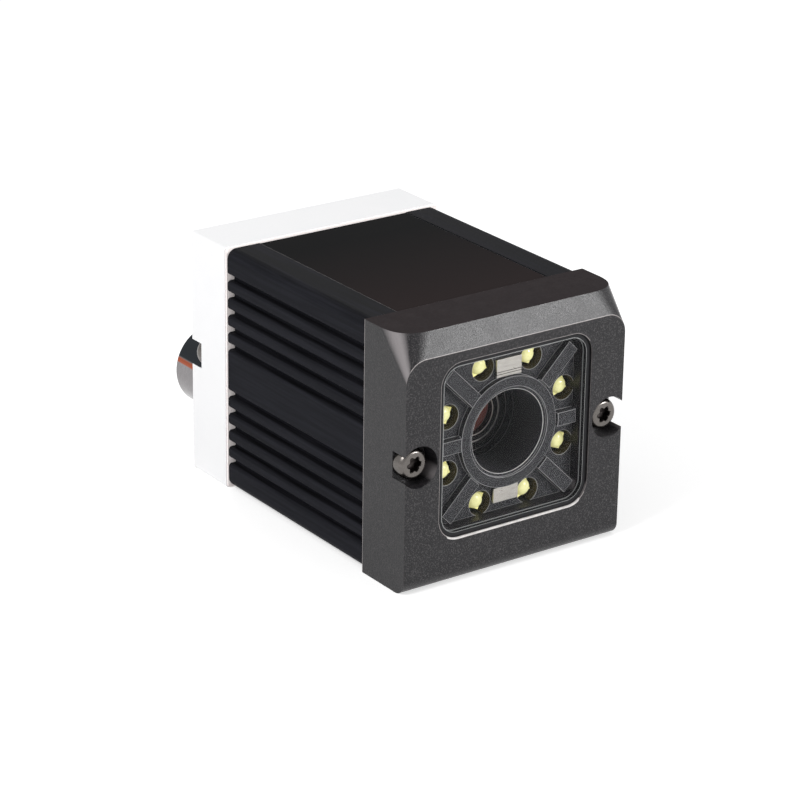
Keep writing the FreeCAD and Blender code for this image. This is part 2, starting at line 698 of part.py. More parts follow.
def groove(sign, middle):
    """Groove between two fins with round tips; it opens to one side."""
    skin = f"{sign}(tube_half)"
    tip = f"{sign}(tube_half - fin_round)"
    floor = f"{sign}(tube_half - groove_depth)"
    out = f"{sign}(tube_half + 1)"
    low, high = f"{middle} - groove_width / 2", f"{middle} + groove_width / 2"
    turn = 1 if sign else -1
    return [
        (out, f"{low} - fin_round"), (skin, f"{low} - fin_round", "fin_round", -turn),
        (tip, low), (floor, low), (floor, high), (tip, high, "fin_round", -turn),
        (skin, f"{high} + fin_round"), (out, f"{high} + fin_round"),
    ]


def label_plate():
    piece = Piece("label_plate")
    half = "label_half - label_gap"
    piece.pad("XZ", [rectangle(f"-({half})", "label_floor", half, "tube_high - label_sink")],
              "tube_front", "tube_back")


def gaskets():
    """Flat gaskets at both ends of the tube; the front one lies in the bezel."""
    sheet_gasket("front_gasket", front_gasket_outline("0"), "tube_front - gasket_thickness",
                 "tube_front")
    outer = rounded("-(half_width - gasket_inset)", "gasket_inset", "half_width - gasket_inset",
                    "body_height - gasket_inset", "cover_corner")
    sheet_gasket("rear_gasket", outer, "tube_back", "cover_front")


def front_gasket_outline(gap):
    """The gasket's outline, or with a gap the recess that it lies in."""
    half = f"tube_half - groove_depth - gasket_margin + {gap}"
    return rounded(f"-({half})", f"tube_low + gasket_margin - ({gap})", half,
                   f"label_floor - gasket_margin + {gap}", "cavity_corner")


def sheet_gasket(label, outer, front, back):
    """Frame of sheet with a round pad inside it for each screw."""
    piece = Piece(label)
    inner = rounded("-(cavity_half)", "cavity_low", "cavity_half", "cavity_high",
                    "cavity_corner")
    piece.pad("XZ", [outer, inner], front, back)
    for sign in SIDES:
        place = f"{sign}(screw_side)"
        piece.pad("XZ", [pad_outline(sign)], front, back)
        piece.pocket("XZ", [(place, "screw_height", "shank_radius + fit_gap")], front, back)


def pad_outline(sign):
    """Half-round tongue from the side of the frame over the screw's boss."""
    return boss(sign, "tube_half - groove_depth - gasket_margin - fit_gap",
                "channel_boss - fit_gap")


def rear_cover():
    piece = Piece("rear_cover")
    outer = rounded("-(half_width)", "0", "half_width", "body_height", "cover_corner")
    piece.pad("XZ", [outer], "cover_front", "body_back")
    inner = rounded("-(half_width - cover_wall)", "cover_wall", "half_width - cover_wall",
                    "body_height - cover_wall", "cavity_corner")
    piece.pocket("XZ", [inner], "cover_front", "cover_floor")
    for sign in SIDES:
        place = f"{sign}(screw_side)"
        piece.pad("XZ", [(place, "screw_height", "channel_boss - fit_gap")],
                  "cover_front", "cover_floor")
        piece.pocket("XZ", [(place, "screw_height", "counterbore_radius")],
                     "rear_seat", "body_back")
        piece.pocket("XZ", [(place, "screw_height", "shank_radius + fit_gap")],
                     "cover_front", "rear_seat")
    for height in ("network_height", "power_height"):
        piece.pocket("XZ", [("-(port_side)", height, "neck_radius + fit_gap")],
                     "cover_floor", "body_back")
    piece.pocket("XZ", [("focus_side", "focus_height", "focus_head_radius + turning_gap")],
                 "cover_floor", "body_back")
    for index in range(int(number("guide_count"))):
        across = f"guide_side + guide_pitch * {index}"
        piece.pocket("XZ", [(across, "guide_height", "guide_radius + lens_fit")],
                     "cover_floor", "body_back")


# ---------------------------------------------------------------- connectors

def network_socket():
    place = dict(across="-(port_side)", up="network_height")
    end = "body_back + network_length"
    back_wall = f"{end} - network_bore_depth"
    shell = Piece("network_socket_shell", **place)
    shell.spin_profile([
        ("insert_radius + lens_fit", "cover_floor - nut_thickness - neck_stub"),
        ("neck_radius", "cover_floor - nut_thickness - neck_stub"), ("neck_radius", "collar_front"),
        ("network_radius", "collar_front"), ("network_radius", f"{end} - port_chamfer"),
        ("network_radius - port_chamfer", end), ("network_bore + port_chamfer", end),
        ("network_bore", f"{end} - port_chamfer"), ("network_bore", back_wall),
        ("insert_radius + lens_fit", back_wall)])
    seal = Piece("network_socket_seal", **place)
    seal.spin_profile([("neck_radius + lens_fit", "body_back"), ("network_radius - seal_lap", "body_back"),
                       ("network_radius - seal_lap", "collar_front"), ("neck_radius + lens_fit", "collar_front")])
    port_nut("network_socket_nut", place)
    insert = Piece("network_socket_insert", **place)
    start = "connector_back + tail_length"
    insert.pad("XZ", [("0", "0", "insert_radius")], start, f"{end} - insert_sink")
    hole = insert.pocket("XZ", [("network_contact_circle", "0", "contact_radius + lens_fit")],
                         start, f"{end} - insert_sink")
    insert.ring_pattern([hole], "contact_count")
    contacts = Piece("network_socket_contacts", **place)
    rod = contacts.pad("XZ", [("network_contact_circle", "0", "contact_radius")],
                       "connector_back", f"{end} - insert_sink - contact_sink")
    contacts.ring_pattern([rod], "contact_count")


def power_plug():
    place = dict(across="-(port_side)", up="power_height")
    end = "body_back + power_length"
    cup = f"{end} - power_bore_depth"
    flange = "collar_front + flange_thickness"
    shell = Piece("power_plug_shell", **place)
    shell.spin_profile([
        ("power_bore", "cover_floor - nut_thickness - neck_stub"),
        ("neck_radius", "cover_floor - nut_thickness - neck_stub"), ("neck_radius", "collar_front"),
        ("power_flange", "collar_front"), ("power_flange", flange),
        ("power_radius", flange), ("power_radius", f"{end} - port_chamfer"),
        ("power_radius - port_chamfer", end), ("power_bore", end)])
    seal = Piece("power_plug_seal", **place)
    seal.spin_profile([("neck_radius + lens_fit", "body_back"), ("power_flange - seal_lap", "body_back"),
                       ("power_flange - seal_lap", "collar_front"), ("neck_radius + lens_fit", "collar_front")])
    port_nut("power_plug_nut", place)
    insert = Piece("power_plug_insert", **place)
    start = "connector_back + tail_length"
    insert.pad("XZ", [("0", "0", "power_bore - lens_fit")], start, cup)
    hole = insert.pocket("XZ", [("pin_circle", "0", "power_pin_radius + lens_fit")], start, cup)
    insert.ring_pattern([hole], "pin_count")
    insert.pocket("XZ", [("0", "0", "power_pin_radius + lens_fit")], start, cup)
    pins = Piece("power_plug_pins", **place)
    tip = f"{end} - pin_sink"
    pin = pins.pad("XZ", [("pin_circle", "0", "power_pin_radius")], "connector_back", tip)
    pins.ring_pattern([pin], "pin_count")
    pins.pad("XZ", [("0", "0", "power_pin_radius")], "connector_back", tip)


def port_nut(label, place):
    """Hexagon nut that clamps a connector to the cover's rear wall."""
    piece = Piece(label, **place)
    piece.pad("XZ", [hexagon("0", "0", "nut_radius"), ("0", "0", "neck_radius + lens_fit")],
              "cover_floor - nut_thickness", "cover_floor")


# ---------------------------------------------------------------- focus and lens

def focus_screw():
    screw = Piece("focus_screw", across="focus_side", up="focus_height")
    screw.spin_profile([
        ("0", "spindle_tip"), ("spindle_radius", "spindle_tip"),
        ("spindle_radius", "focus_head_front"), ("focus_head_radius", "focus_head_front"),
        ("focus_head_radius", "focus_head_back"), ("0", "focus_head_back")])
    slot = rectangle("-focus_slot_length / 2", "-focus_slot_width / 2",
                     "focus_slot_length / 2", "focus_slot_width / 2")
    screw.pocket("XZ", [slot], "focus_head_back - focus_slot_depth", "focus_head_back")


def optics_frame():
    """Moulded frame across the tube: it holds the sensor and the carriage's rods."""
    piece = Piece("optics_frame")
    piece.pad("XZ", [rectangle("-(frame_half)", "frame_low", "frame_half", "frame_high")],
              "frame_front", "frame_back")
    inside = rectangle("-(frame_half - frame_wall)", "frame_low + frame_wall",
                       "frame_half - frame_wall", "frame_high - frame_wall")
    front, back = "frame_front + frame_wall", "frame_back - frame_wall"
    piece.pocket("XZ", [inside], front, back)
    piece.pocket("XZ", [("0", "optics_height", "barrel_radius + bore_room")],
                 "frame_front", front)
    piece.pocket("XZ", [square("sensor_half + sensor_room")], back, "frame_back",
                 lift="optics_height")
    piece.pocket("XZ", [("focus_side", "focus_height", "spindle_radius + turning_gap")],
                 back, "frame_back")
    rods = Piece("guide_rods", up="optics_height")
    rod = rods.pad("XZ", [("rod_side", "0", "rod_radius")], front, back)
    rods.mirror([rod], "YZ")


def lens_carriage():
    carriage = Piece("lens_carriage", up="optics_height")
    back = "carriage_front + carriage_length"
    plate = rounded("-(carriage_half)", "-(carriage_tall)", "carriage_half",
                    "carriage_tall", "carriage_corner")
    carriage.pad("XZ", [plate], "carriage_front", back)
    carriage.pocket("XZ", [("0", "0", "barrel_radius")], "carriage_front", back)
    for sign in SIDES:
        hole = (f"{sign}(rod_side)", "0", "rod_radius + turning_gap")
        carriage.pocket("XZ", [hole], "carriage_front", back)
    hole = ("focus_side", "-focus_drop", "spindle_radius + thread_gap")
    carriage.pocket("XZ", [hole], "carriage_front", back)

    barrel = Piece("lens_barrel", up="optics_height")
    seat = "lens_seat + lens_edge"
    rear_end = "rear_lens_seat + lens_edge"
    barrel.spin_profile([
        ("lens_radius", "barrel_front"), ("barrel_radius", "barrel_front"),
        ("barrel_radius", "barrel_back"), ("rear_lens_radius", "barrel_back"),
        ("rear_lens_radius", "rear_lens_seat"), ("stop_radius", "rear_lens_seat"),
        ("stop_radius", seat), ("lens_radius", seat)])
    ring = Piece("lens_retaining_ring", up="optics_height")
    ring_outside = "lens_radius - lens_fit"
    ring.spin_profile([
        ("ring_nut_bore", "barrel_front"), (ring_outside, "barrel_front"),
        (ring_outside, "lens_seat"), ("ring_nut_bore + ring_ease", "lens_seat - ring_ease")])
    front = Piece("front_lens", up="optics_height")
    edge = "(lens_radius - lens_fit)"
    bulge = f"({edge} * {edge} + lens_crown * lens_crown) / (2 * lens_crown)"
    front.spin_profile([
        ("0", "lens_seat - lens_crown"), (edge, "lens_seat", bulge, 1),
        (edge, seat), ("0", seat)])
    rear = Piece("rear_lens", up="optics_height")
    edge = "rear_lens_radius - lens_fit"
    rear.spin_profile([("0", "rear_lens_seat"), (edge, "rear_lens_seat"),
                       (edge, rear_end), ("0", rear_end)])


# ---------------------------------------------------------------- electronics

def boards():
    rows = (("sensor_board", "sensor_board_front"), ("processor_board", "processor_front"),
            ("connector_board", "connector_front"))
    outline = rectangle("-(board_half)", "board_low", "board_half", "board_high")
    for label, front in rows:
        piece = Piece(label)
        hole = ("focus_side", "focus_height", "spindle_radius + spindle_room")
        piece.pad("XZ", [outline, hole], front, f"{front} + board_thickness")
    rows = (("front_spacers", "sensor_board_back", "processor_front"),
            ("rear_spacers", "processor_back", "connector_front"))
    for label, front, back in rows:
        piece = Piece(label)
        for height in ("spacer_low", "spacer_high"):
            post = piece.pad("XZ", [hexagon("spacer_side", height, "spacer_radius")], front, back)
            piece.mirror([post], "YZ")
    sensor = Piece("image_sensor", up="optics_height")
    sensor.pad("XZ", [square("sensor_half")], "sensor_board_front - sensor_height",
               "sensor_board_front")
    chip = Piece("processor_chip", up="optics_height")
    chip.pad("XZ", [square("chip_half")], "processor_front - chip_height", "processor_front")
    rows = (("front_board_connector", "sensor_board_back", "processor_front"),
            ("rear_board_connector", "processor_back", "connector_front"))
    body = rectangle("-(plug_half)", "plug_top - plug_width", "plug_half", "plug_top")
    for label, front, back in rows:
        piece = Piece(label)
        piece.pad("XZ", [body], front, back)


def status_lights():
    for index in range(int(number("guide_count"))):
        across = f"guide_side + guide_pitch * {index}"
        piece = Piece("status_light_guide_%d" % (index + 1), across=across, up="guide_height")
        top = "connector_back + lamp_height"
        piece.spin_profile([
            ("0", f"{top} + lamp_gap"), ("guide_radius", f"{top} + lamp_gap"),
            ("guide_radius", "cover_floor - guide_bed"), ("guide_flange", "cover_floor - guide_bed"),
            ("guide_flange", "cover_floor"), ("guide_radius", "cover_floor"),
            ("guide_radius", "body_back"), ("0", "body_back")])
    lamps_row = Piece("status_lamps")
    for index in range(int(number("guide_count"))):
        across = f"guide_side + guide_pitch * {index}"
        body = rectangle(f"{across} - lamp_width / 2", "guide_height - lamp_width / 2",
                         f"{across} + lamp_width / 2", "guide_height + lamp_width / 2")
        lamps_row.pad("XZ", [body], "connector_back", "connector_back + lamp_height")


# ---------------------------------------------------------------- build and write

for build in (front_bezel, window, light_holder, clips, lamps, screws, body_extrusion,
              label_plate, gaskets, rear_cover, network_socket, power_plug, focus_screw,
              optics_frame, lens_carriage, boards, status_lights):
    build()

doc.recompute()
for item in doc.Objects:
    if "Invalid" in item.State or "Error" in item.State:
        raise RuntimeError("failed: " + item.Name + " " + str(item.State))
for piece in PIECES:
    shape = piece.body.Shape
    if shape.isNull() or not shape.isValid() or not shape.Solids:
        raise RuntimeError("bad shape: " + piece.label)

os.makedirs("parts", exist_ok=True)
total = 0.0
for piece in PIECES:
    shape = piece.body.Shape
    total += shape.Volume
    shape.exportStep(os.path.join("parts", piece.label + ".step"))
print("pieces: %d, volume: %.0f mm3" % (len(PIECES), total))
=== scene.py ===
import math

import bmesh
import bpy
from mathutils import Matrix, Vector


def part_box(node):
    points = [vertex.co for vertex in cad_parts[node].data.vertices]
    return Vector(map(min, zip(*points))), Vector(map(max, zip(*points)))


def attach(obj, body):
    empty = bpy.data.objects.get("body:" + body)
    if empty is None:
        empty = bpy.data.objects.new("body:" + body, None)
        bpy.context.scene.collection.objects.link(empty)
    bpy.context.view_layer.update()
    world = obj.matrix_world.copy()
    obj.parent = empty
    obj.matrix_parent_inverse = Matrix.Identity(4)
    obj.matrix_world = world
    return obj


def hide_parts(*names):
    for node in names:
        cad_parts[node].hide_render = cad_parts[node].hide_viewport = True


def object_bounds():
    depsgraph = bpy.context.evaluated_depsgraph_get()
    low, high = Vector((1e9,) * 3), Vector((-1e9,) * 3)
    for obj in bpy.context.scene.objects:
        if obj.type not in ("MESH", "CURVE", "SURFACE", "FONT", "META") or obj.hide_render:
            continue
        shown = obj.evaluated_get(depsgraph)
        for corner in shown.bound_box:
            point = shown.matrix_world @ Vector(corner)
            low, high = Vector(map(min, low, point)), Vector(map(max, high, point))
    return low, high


# A machine vision camera: black finned housing, anthracite front bezel with a
# window over a ring of lamps, white rear cover with two round connectors.
# Sizes of the camera are millimetres here; MM turns them into the frame's metres.

MM = 0.001
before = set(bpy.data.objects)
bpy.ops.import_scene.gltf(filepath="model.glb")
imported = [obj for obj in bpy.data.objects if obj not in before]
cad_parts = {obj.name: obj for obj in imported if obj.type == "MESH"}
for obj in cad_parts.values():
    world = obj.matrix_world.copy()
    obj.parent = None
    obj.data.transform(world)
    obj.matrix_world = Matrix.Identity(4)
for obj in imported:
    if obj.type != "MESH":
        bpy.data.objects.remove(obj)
cad_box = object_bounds()
low, high = cad_box
HOUSING, CARRIAGE, FOCUS = "housing", "lens_carriage", "focus_screw"


def box_mm(node):
    """The low and the high corner of a node's box, in millimetres."""
    corner_low, corner_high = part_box(node)
    return corner_low / MM, corner_high / MM


# ------------------------------------------------------------------ materials

def srgb(red, green, blue):
    """A colour given as it looks on a screen, 0 to 255, as a linear colour."""
    def linear(value):
        value /= 255.0
        return value / 12.92 if value <= 0.04045 else ((value + 0.055) / 1.055) ** 2.4
    return (linear(red), linear(green), linear(blue), 1.0)


def shade(color, share):
    """The colour with each channel times share, 1 at most."""
    return [min(1.0, channel * share) for channel in color[:3]] + [1.0]


SOCKETS = {"metallic": "Metallic", "specular": "Specular IOR Level", "alpha": "Alpha",
           "glow": "Emission Strength", "glow_color": "Emission Color",
           "subsurface": "Subsurface Weight", "subsurface_scale": "Subsurface Scale"}


class Look:
    """A Principled material; its patterns lie on object coordinates, in millimetres."""

    def __init__(self, name, color, roughness, **sockets):
        self.material = bpy.data.materials.new(name)
        self.material.use_nodes = True
        self.tree = self.material.node_tree
        self.shader = self.tree.nodes["Principled BSDF"]
        self.base = color
        self.shader.inputs["Base Color"].default_value = color
        self.shader.inputs["Roughness"].default_value = roughness
        for key, value in sockets.items():
            self.shader.inputs[SOCKETS[key]].default_value = value

    def node(self, kind, **inputs):
        made = self.tree.nodes.new(kind)
        for socket, value in inputs.items():
            made.inputs[socket.replace("_", " ")].default_value = value
        return made

    def link(self, output, socket):
        self.tree.links.new(output, socket)

    def place(self, stretch=(1, 1, 1)):
        """Object coordinates in millimetres, divided by stretch along each axis."""
        coords = self.node("ShaderNodeTexCoord")
        mapping = self.node("ShaderNodeMapping")
        mapping.inputs["Scale"].default_value = [1 / MM / s for s in stretch]
        self.link(coords.outputs["Object"], mapping.inputs["Vector"])
        return mapping.outputs["Vector"]

    def noise(self, size, detail=2.0, stretch=(1, 1, 1), rough=0.5):
        made = self.node("ShaderNodeTexNoise", Scale=1 / size, Detail=detail, Roughness=rough)
        self.link(self.place(stretch), made.inputs["Vector"])
        return made.outputs["Fac"]

    def grains(self, size):
        made = self.node("ShaderNodeTexVoronoi", Scale=1 / size)
        self.link(self.place(), made.inputs["Vector"])
        return made.outputs["Distance"]

    def part(self, vector, axis):
        """One component of a vector socket."""
        split = self.node("ShaderNodeSeparateXYZ")
        self.link(vector, split.inputs["Vector"])
        return split.outputs[axis]

    def work_out(self, operation, first, second=None):
        """A Math node; second may be a number or a socket."""
        made = self.node("ShaderNodeMath")
        made.operation = operation
        self.link(first, made.inputs[0])
        if isinstance(second, bpy.types.NodeSocket):
            self.link(second, made.inputs[1])
        elif second is not None:
            made.inputs[1].default_value = second
        return made.outputs[0]

    def times(self, first, second):
        return self.work_out("MULTIPLY", first, second)

    def along(self, axis, start, end):
        """0 at start and 1 at end, in millimetres along an axis."""
        return self.spread(self.part(self.place(), axis), 0.0, 1.0, start, end)

    def line(self, axis, middle, half):
        """1 on a thin line across an axis and 0 away from it, in millimetres."""
        off = self.work_out("SUBTRACT", self.part(self.place(), axis), middle)
        return self.spread(self.work_out("ABSOLUTE", off), 1.0, 0.0, half * 0.7, half * 1.3)

    def normal(self):
        return self.node("ShaderNodeNewGeometry").outputs["Normal"]

    def facing(self, axis):
        """How much the surface faces along an axis, either way, 0 to 1."""
        return self.work_out("ABSOLUTE", self.part(self.normal(), axis))

    def toward(self, direction, start, end):
        """0 where the normal's share of a direction is start, 1 where it is end.
        Left and right count alike: the normal's X is taken as positive."""
        join = self.node("ShaderNodeCombineXYZ")
        self.link(self.facing("X"), join.inputs["X"])
        for axis in "YZ":
            self.link(self.part(self.normal(), axis), join.inputs[axis])
        dot = self.node("ShaderNodeVectorMath")
        dot.operation = "DOT_PRODUCT"
        self.link(join.outputs[0], dot.inputs[0])
        dot.inputs[1].default_value = Vector(direction).normalized()
        return self.spread(dot.outputs["Value"], 0.0, 1.0, start, end)

    def spread(self, value, to_low, to_high, from_low=0.0, from_high=1.0):
        made = self.node("ShaderNodeMapRange")
        made.inputs["From Min"].default_value = from_low
        made.inputs["From Max"].default_value = from_high
        made.inputs["To Min"].default_value = to_low
        made.inputs["To Max"].default_value = to_high
        self.link(value, made.inputs["Value"])
        return made.outputs["Result"]

    def tint(self, amount, color):
        """Mixes a colour into the base colour by a pattern."""
        mix = self.node("ShaderNodeMix")
        mix.data_type = "RGBA"
        factor, first, second = [s for s in mix.inputs if s.enabled]
        self.link(amount, factor)
        if isinstance(self.base, bpy.types.NodeSocket):
            self.link(self.base, first)
        else:
            first.default_value = self.base
        second.default_value = color
        self.base = next(s for s in mix.outputs if s.enabled)
        self.link(self.base, self.shader.inputs["Base Color"])
        return self

    def rough(self, value, smooth, coarse):
        """Roughness between smooth and coarse by a pattern that runs about 0.3 to 0.7."""
        self.link(self.spread(value, smooth, coarse, 0.3, 0.7), self.shader.inputs["Roughness"])
        return self

    def bump(self, value, height):
        """Relief of a height in millimetres."""
        made = self.node("ShaderNodeBump", Strength=1.0, Distance=height * MM)
        self.link(value, made.inputs["Height"])
        normal = self.shader.inputs["Normal"]
        if normal.is_linked:
            self.link(normal.links[0].from_socket, made.inputs["Normal"])
        self.link(made.outputs["Normal"], normal)
        return self


# the direction that the bezel's corner cones face where they look lightest
CONE_LIGHT = (0.84, -0.31, 0.44)


def bezel_look():
    """Anthracite fine-textured coating on cast metal.
    The highlight on the corner cones is painted, by the surface's direction: the lamps that light
    the white cover evenly are too weak to give it."""
    look = Look("bezel_coating", srgb(22, 21, 24), 0.3, specular=0.29)
    grain = look.noise(0.2, 3.0, rough=0.65)
    look.tint(look.spread(grain, 0.0, 0.7, 0.5, 0.74), srgb(94, 91, 92))
    look.tint(look.spread(grain, 0.75, 0.0, 0.28, 0.46), srgb(16, 15, 16))
    streaks = look.spread(look.noise(0.3, 2.0, stretch=(1, 1, 16)), 0.0, 0.6, 0.5, 0.75)
    look.tint(look.times(streaks, look.facing("X")), srgb(50, 46, 50))
    # painted shade: the faces that look straight left or right are darkened
    look.tint(look.spread(look.facing("X"), 0.0, 0.4, 0.96, 0.99), srgb(10, 9, 11))
    look.tint(look.times(look.toward(CONE_LIGHT, 0.87, 0.985), 0.8), srgb(144, 139, 140))
    look.rough(look.noise(4.0), 0.28, 0.33)
    look.bump(grain, 0.035)
    return look


def bezel_top_look():
    """The coating is smooth on the bezel's flat top."""
    look = Look("bezel_coating_smooth", srgb(44, 39, 40), 0.5, specular=0.01)
    look.tint(look.spread(look.noise(2.2, 3.0), 0.0, 0.4, 0.4, 0.7), srgb(53, 48, 49))
    look.rough(look.noise(0.4), 0.45, 0.55)
    look.bump(look.noise(0.3), 0.003)
    return look


def edge_highlight_look(name, color, roughness, **sockets):
    """A lighter colour for rounded edges: a painted highlight, in place of the light that so fine
    an edge catches.
    """
    look = Look(name, color, roughness, **sockets)
    look.tint(look.spread(look.noise(1.2), 0.0, 0.5, 0.4, 0.7), shade(color, 0.6))
    return look


def anodised_look():
    """Black anodised aluminium, drawn along Y."""
    look = Look("anodised_tube", srgb(17, 17, 19), 0.42, specular=0.015)
    drawn = look.noise(0.5, 2.0, stretch=(1, 30, 1))
    look.tint(look.spread(drawn, 0.0, 0.7, 0.4, 0.7), srgb(38, 38, 43))
    # painted light: the faces that look left or right are made lighter
    look.tint(look.times(look.facing("X"), 0.4), srgb(38, 39, 45))
    look.rough(drawn, 0.38, 0.5)
    look.bump(look.noise(0.12, 2.0), 0.006)
    return look


def label_look():
    """Satin film, a little lighter towards the front."""
    look = Look("label_film", srgb(19, 19, 20), 0.16, specular=0.003)
    look.tint(look.along("Y", 8.0, -27.0), srgb(40, 33, 33))
    look.rough(look.noise(6.0), 0.13, 0.22)
    look.bump(look.noise(3.0), 0.004)
    return look


def cover_look():
    look = Look("cover_white", srgb(243, 243, 244), 0.3, specular=0.3)
    look.tint(look.spread(look.noise(9.0), 0.0, 0.3, 0.45, 0.75), srgb(236, 237, 239))
    look.rough(look.noise(5.0), 0.28, 0.33)
    return look


def holder_look():
    """Dark grey glass-filled plastic with a spark-eroded grain."""
    look = Look("holder_plastic", srgb(52, 52, 55), 0.5, specular=0.2)
    grain = look.noise(0.2, 3.0, rough=0.6)
    look.tint(look.spread(grain, 0.0, 0.7, 0.5, 0.74), srgb(104, 104, 107))
    look.tint(look.spread(grain, 0.75, 0.0, 0.3, 0.46), srgb(30, 30, 32))
    look.bump(grain, 0.02)
    return look


# depths at which the lamp wells' painted shade is lightest and darkest
WELL_MOUTH, WELL_FLOOR = -34.6, -33.0


def well_look():
    """The holder's wall round a lamp, in a painted yellow-brown glow of the lamp, with painted
    shade darker towards the floor.
    """
    look = Look("lamp_well", srgb(50, 44, 33), 0.5, specular=0.15)
    grain = look.noise(0.3, 3.0)
    look.tint(look.spread(grain, 0.0, 0.8, 0.4, 0.7), srgb(78, 68, 44))
    look.tint(look.along("Y", WELL_MOUTH, WELL_FLOOR), srgb(30, 27, 22))
    look.bump(grain, 0.02)
    return look


def rubber_look(name, color, **sockets):
    look = Look(name, color, 0.6, specular=0.2, **sockets)
    look.tint(look.spread(look.noise(0.8), 0.0, 0.5, 0.45, 0.75), shade(color, 1.6))
    look.bump(look.noise(0.15), 0.01)
    return look


def metal_look(name, color, roughness, scratches=(1, 1, 1), **sockets):
    look = Look(name, color, roughness, metallic=1.0, **sockets)
    grain = look.noise(0.3, 3.0, stretch=scratches)
    look.tint(look.spread(grain, 0.0, 0.6, 0.4, 0.75), shade(color, 0.72))
    look.rough(grain, roughness * 0.8, roughness * 1.3)
    return look


def plastic_look(name, color, roughness=0.4, specular=0.35, **sockets):
    look = Look(name, color, roughness, specular=specular, **sockets)
    look.tint(look.spread(look.noise(2.5), 0.0, 0.4, 0.4, 0.75), shade(color, 0.8))
    look.rough(look.noise(0.8), roughness * 0.85, roughness * 1.2)
    return look


def collar_look():
    """Polished collar. Its dark upper part and the brown line below it are painted by height,
    and stand for what a real one mirrors."""
    look = metal_look("collar_polished", srgb(138, 135, 136), 0.16, scratches=(1, 1, 4))
    box_low, box_high = box_mm("network_socket_shell")
    middle = (box_low.z + box_high.z) / 2
    not_rim = look.along("Y", box_high.y - 0.3, box_high.y - 0.45)
    upper = look.along("Z", middle + 2.6, middle + 3.0)
    look.tint(look.times(not_rim, upper), srgb(38, 42, 46))
    look.tint(look.times(not_rim, look.line("Z", middle + 2.3, 0.42)), srgb(158, 82, 56))
    return look


def clip_look():
    """Spring steel; two fine dark lines of painted shade stand for the upper clip's lower bend."""
    look = metal_look("clip_steel", srgb(190, 186, 180), 0.34, scratches=(6, 1, 1))
    box_low, box_high = box_mm("holder_clip_top")
    for share in (0.17, 0.3):
        level = box_low.z + share * (box_high.z - box_low.z)
        look.tint(look.line("Z", level, 0.06), srgb(70, 68, 66))
    return look


def silicone_look():
    """The lamp's dome: tinted silicone, with a slight glow of painted light."""
    look = Look("lamp_silicone", srgb(240, 239, 186), 0.15, specular=0.5, alpha=0.92, glow=0.3,
                glow_color=srgb(255, 252, 180))
    look.tint(look.spread(look.noise(0.6, 2.0), 0.0, 0.5, 0.4, 0.7), srgb(216, 214, 140))
    return look


def board_look():
    look = Look("solder_mask", srgb(20, 66, 40), 0.35, specular=0.4)
    tracks = look.grains(2.2)
    look.tint(look.spread(tracks, 0.5, 0.0, 0.08, 0.16), srgb(70, 120, 60))
    look.bump(tracks, 0.02)
    return look


LOOKS = {
    "bezel": bezel_look(),
    "bezel_top": bezel_top_look(),
    # the edge looks here are painted highlights along rounded edges
    "bezel_edge": edge_highlight_look("bezel_edges", srgb(150, 144, 143), 0.35, specular=0.4),
    "window_lip": edge_highlight_look("window_lip_bright", srgb(214, 210, 208), 0.3, specular=0.5),
    "seal": rubber_look("seal_rubber", srgb(26, 26, 28)),
    "pane": Look("window_glass", srgb(40, 42, 44), 0.04, specular=0.5, alpha=0.08),
    # a painted highlight along the pane's rounded edges
    "pane_edge": Look("window_glass_edge", srgb(176, 178, 178), 0.15, specular=0.5, alpha=0.62),
    "holder": holder_look(),
    "holder_edge": edge_highlight_look("holder_edges", srgb(176, 175, 176), 0.35, specular=0.4),
    "clip": clip_look(),
    "board": board_look(),
    "screw": metal_look("screw_steel", srgb(104, 100, 97), 0.25),
    # the recess is the screw's steel made darker: painted shade
    "recess": metal_look("screw_recess", srgb(60, 56, 55), 0.4),
    "extrusion": anodised_look(),
    "label": label_look(),
    "label_edge": edge_highlight_look("label_edges", srgb(104, 102, 103), 0.4),
    # the gasket's glow is painted light that brightens it where the fins shade it
    "gasket": rubber_look("gasket_rubber", srgb(240, 232, 230), glow=0.12,
                          glow_color=srgb(255, 248, 246)),
    "front_gasket": rubber_look("gasket_rubber_dark", srgb(38, 37, 38)),
    "cover": cover_look(),
    "nickel": metal_look("nickel_plate", srgb(128, 125, 126), 0.2, scratches=(1, 1, 4)),
    "collar": collar_look(),
    "red_seal": rubber_look("port_seal_rubber", srgb(196, 84, 50)),
    "insert": plastic_look("insulator", srgb(30, 30, 32)),
    "gold": metal_look("gold_contacts", srgb(222, 176, 96), 0.25),
    "brass": metal_look("brass", srgb(192, 156, 92), 0.3),
    "barrel": plastic_look("barrel_black", srgb(30, 29, 30), 0.5, 0.12),
    "barrel_edge": edge_highlight_look("barrel_edges", srgb(150, 147, 145), 0.4),
    # the lens's brown glow is a painted reflection, on a lens that lies in shadow
    "lens": Look("coated_glass", srgb(104, 60, 52), 0.05, specular=0.3, glow=0.3,
                 glow_color=srgb(106, 66, 60)),
    "lens_rim": edge_highlight_look("lens_rim", srgb(214, 208, 200), 0.3, specular=0.5),
    "well": well_look(),
    # the bore lip's glow is painted light as well
    "ring_lip": edge_highlight_look("bore_lip_bright", srgb(238, 236, 234), 0.3, specular=0.5, glow=0.08,
                          glow_color=srgb(255, 255, 255)),
    "chip": plastic_look("chip_resin", srgb(34, 34, 36), 0.45),
    "guide": plastic_look("light_guide", srgb(214, 218, 216), 0.2, 0.5, subsurface=0.4,
                          subsurface_scale=1 * MM),
    "ceramic": plastic_look("lamp_ceramic", srgb(222, 218, 204), 0.45),
    # the phosphor's glow is painted light that stands in for the light the lamps catch in their
    # wells
    "phosphor": plastic_look("lamp_phosphor", srgb(244, 240, 172), 0.4, glow=0.45,
                             glow_color=srgb(255, 248, 170)),
    "silicone": silicone_look(),
}


# ---------------------------------------------------------------- mesh helpers

# angles, in degrees, above which an edge shows as one and above which it is rounded
SHARP = 32.0
CORNER = 28.0
FINE_CORNER = 15.0


